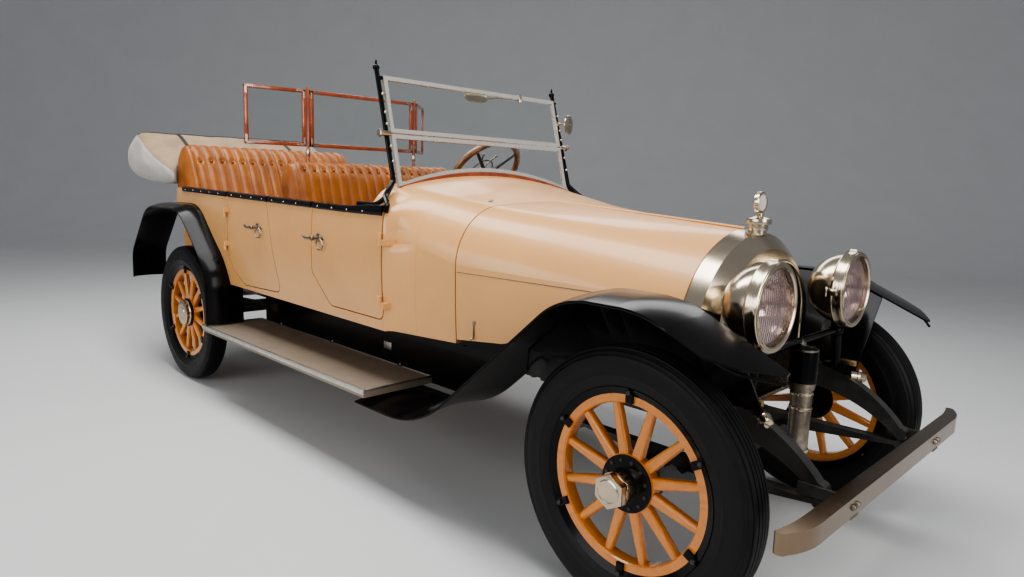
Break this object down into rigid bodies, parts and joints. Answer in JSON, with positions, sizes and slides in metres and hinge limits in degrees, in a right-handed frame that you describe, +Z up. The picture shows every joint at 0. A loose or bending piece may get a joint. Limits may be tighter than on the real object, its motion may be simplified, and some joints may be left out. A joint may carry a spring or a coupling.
{
  "type": "antique touring car",
  "caption": "Open four-door touring car of the nineteen-tens with steered wooden-spoke wheels, opening doors and hood halves, folded top and two windscreens.",
  "frame": {"origin": "on the ground under the middle of the car's overall length, in its centre plane", "axes": "+X forward towards the bumper, +Y to the car's left, +Z up"},
  "size_m": [5.4464, 1.69, 1.92],
  "materials": {
    "body_cream": "gloss",
    "gloss_black": "gloss",
    "chassis_black": "satin",
    "axle_black": "satin",
    "engine_iron": "matt",
    "exhaust_steel": "matt",
    "leather_tan": "satin",
    "top_canvas": "matt",
    "nickel": "polished",
    "core_dark": "matt",
    "screen_glass": "clear",
    "lens_glass": "fluted",
    "screen_wood": "varnished",
    "board_top": "satin",
    "tyre_black": "matt",
    "spoke_wood": "varnished",
    "hub_black": "gloss",
    "wheel_wood": "varnished"
  },
  "bodies": {
    "chassis": {"frame_rails": "chassis_black", "frame_crossmembers": "chassis_black", "leaf_springs": "chassis_black", "front_axle": "axle_black", "rear_axle": "axle_black", "engine_block": "engine_iron", "exhaust": "exhaust_steel", "fuel_tank": "chassis_black", "body_tub": "body_cream", "cowl": "body_cream", "radiator_shell": "nickel", "radiator_core": "core_dark", "radiator_cap": "nickel", "steering_column": "gloss_black", "dashboard": "wheel_wood", "driver_controls": "gloss_black", "windshield_posts": "gloss_black", "windshield_frame": "nickel", "window_glass": "screen_glass", "tonneau_frame": "screen_wood", "front_seat": "leather_tan", "rear_seat": "leather_tan", "folded_top": "top_canvas", "front_fenders": "gloss_black", "rear_fenders": "gloss_black", "running_boards": "board_top", "splash_aprons": "gloss_black", "headlamp_shells": "nickel", "headlamp_lenses": "lens_glass", "lamp_bracket": "gloss_black", "horn": "nickel", "front_bumper": "nickel"},
    "knuckle_left": {"knuckle_left": "axle_black"},
    "knuckle_right": {"knuckle_right": "axle_black"},
    "tie_rod": {"tie_rod": "axle_black"},
    "steering_wheel": {"steering_wheel": "wheel_wood"},
    "door_front_left": {"door_front_left": "body_cream"},
    "door_front_right": {"door_front_right": "body_cream"},
    "door_rear_left": {"door_rear_left": "body_cream"},
    "door_rear_right": {"door_rear_right": "body_cream"},
    "hood_left": {"hood_left": "body_cream"},
    "hood_right": {"hood_right": "body_cream"},
    "wheel_front_left": {"tyre_front_left": "tyre_black", "wood_wheel_front_left": "spoke_wood", "hub_front_left": "hub_black"},
    "wheel_front_right": {"tyre_front_right": "tyre_black", "wood_wheel_front_right": "spoke_wood", "hub_front_right": "hub_black"},
    "wheel_rear_left": {"tyre_rear_left": "tyre_black", "wood_wheel_rear_left": "spoke_wood", "hub_rear_left": "hub_black"},
    "wheel_rear_right": {"tyre_rear_right": "tyre_black", "wood_wheel_rear_right": "spoke_wood", "hub_rear_right": "hub_black"}
  },
  "joints": [
    {"name": "right_steer", "type": "hinge", "parent": "chassis", "child": "knuckle_right", "pos_m": [2.144, -0.575, 0.447], "axis": [0, 0, 1], "range_deg": [-30, 30]},
    {"name": "left_steer", "type": "hinge", "parent": "chassis", "child": "knuckle_left", "pos_m": [2.144, 0.575, 0.447], "axis": [0, 0, 1], "range_deg": [-30, 30]},
    {"name": "tie_rod_swing", "type": "hinge", "parent": "knuckle_right", "child": "tie_rod", "pos_m": [1.974, -0.575, 0.36], "axis": [0, 0, 1], "range_deg": [-30, 30]},
    {"name": "steering_wheel_turn", "type": "hinge", "parent": "chassis", "child": "steering_wheel", "pos_m": [0.267, 0.338, 1.43], "axis": [-0.7716, 0, 0.6361], "range_deg": [-300, 300]},
    {"name": "front_left_wheel_spin", "type": "hinge", "parent": "knuckle_left", "child": "wheel_front_left", "pos_m": [2.144, 0.711, 0.447], "axis": [0, 1, 0], "continuous": true},
    {"name": "front_right_wheel_spin", "type": "hinge", "parent": "knuckle_right", "child": "wheel_front_right", "pos_m": [2.144, -0.711, 0.447], "axis": [0, 1, 0], "continuous": true},
    {"name": "rear_left_wheel_spin", "type": "hinge", "parent": "chassis", "child": "wheel_rear_left", "pos_m": [-1.463, 0.711, 0.447], "axis": [0, 1, 0], "continuous": true},
    {"name": "rear_right_wheel_spin", "type": "hinge", "parent": "chassis", "child": "wheel_rear_right", "pos_m": [-1.463, -0.711, 0.447], "axis": [0, 1, 0], "continuous": true},
    {"name": "front_left_door_swing", "type": "hinge", "parent": "chassis", "child": "door_front_left", "pos_m": [0.792, 0.759, 0.98], "axis": [0, 0, -1], "range_deg": [0, 65]},
    {"name": "rear_left_door_swing", "type": "hinge", "parent": "chassis", "child": "door_rear_left", "pos_m": [-0.863, 0.732, 1.05], "axis": [0, 0, 1], "range_deg": [0, 65]},
    {"name": "hood_left_lift", "type": "hinge", "parent": "chassis", "child": "hood_left", "pos_m": [1.157, 0, 1.304], "axis": [0.9976, 0, -0.0686], "range_deg": [0, 50]},
    {"name": "front_right_door_swing", "type": "hinge", "parent": "chassis", "child": "door_front_right", "pos_m": [0.792, -0.759, 0.98], "axis": [0, 0, 1], "range_deg": [0, 65]},
    {"name": "rear_right_door_swing", "type": "hinge", "parent": "chassis", "child": "door_rear_right", "pos_m": [-0.863, -0.732, 1.05], "axis": [0, 0, -1], "range_deg": [0, 65]},
    {"name": "hood_right_lift", "type": "hinge", "parent": "chassis", "child": "hood_right", "pos_m": [1.157, 0, 1.304], "axis": [-0.9976, 0, 0.0686], "range_deg": [0, 50]}
  ],
  "couplings": [
    {"joint": "left_steer", "follows": "right_steer", "ratio": 1},
    {"joint": "tie_rod_swing", "follows": "right_steer", "ratio": -1},
    {"joint": "steering_wheel_turn", "follows": "right_steer", "ratio": 10}
  ]
}
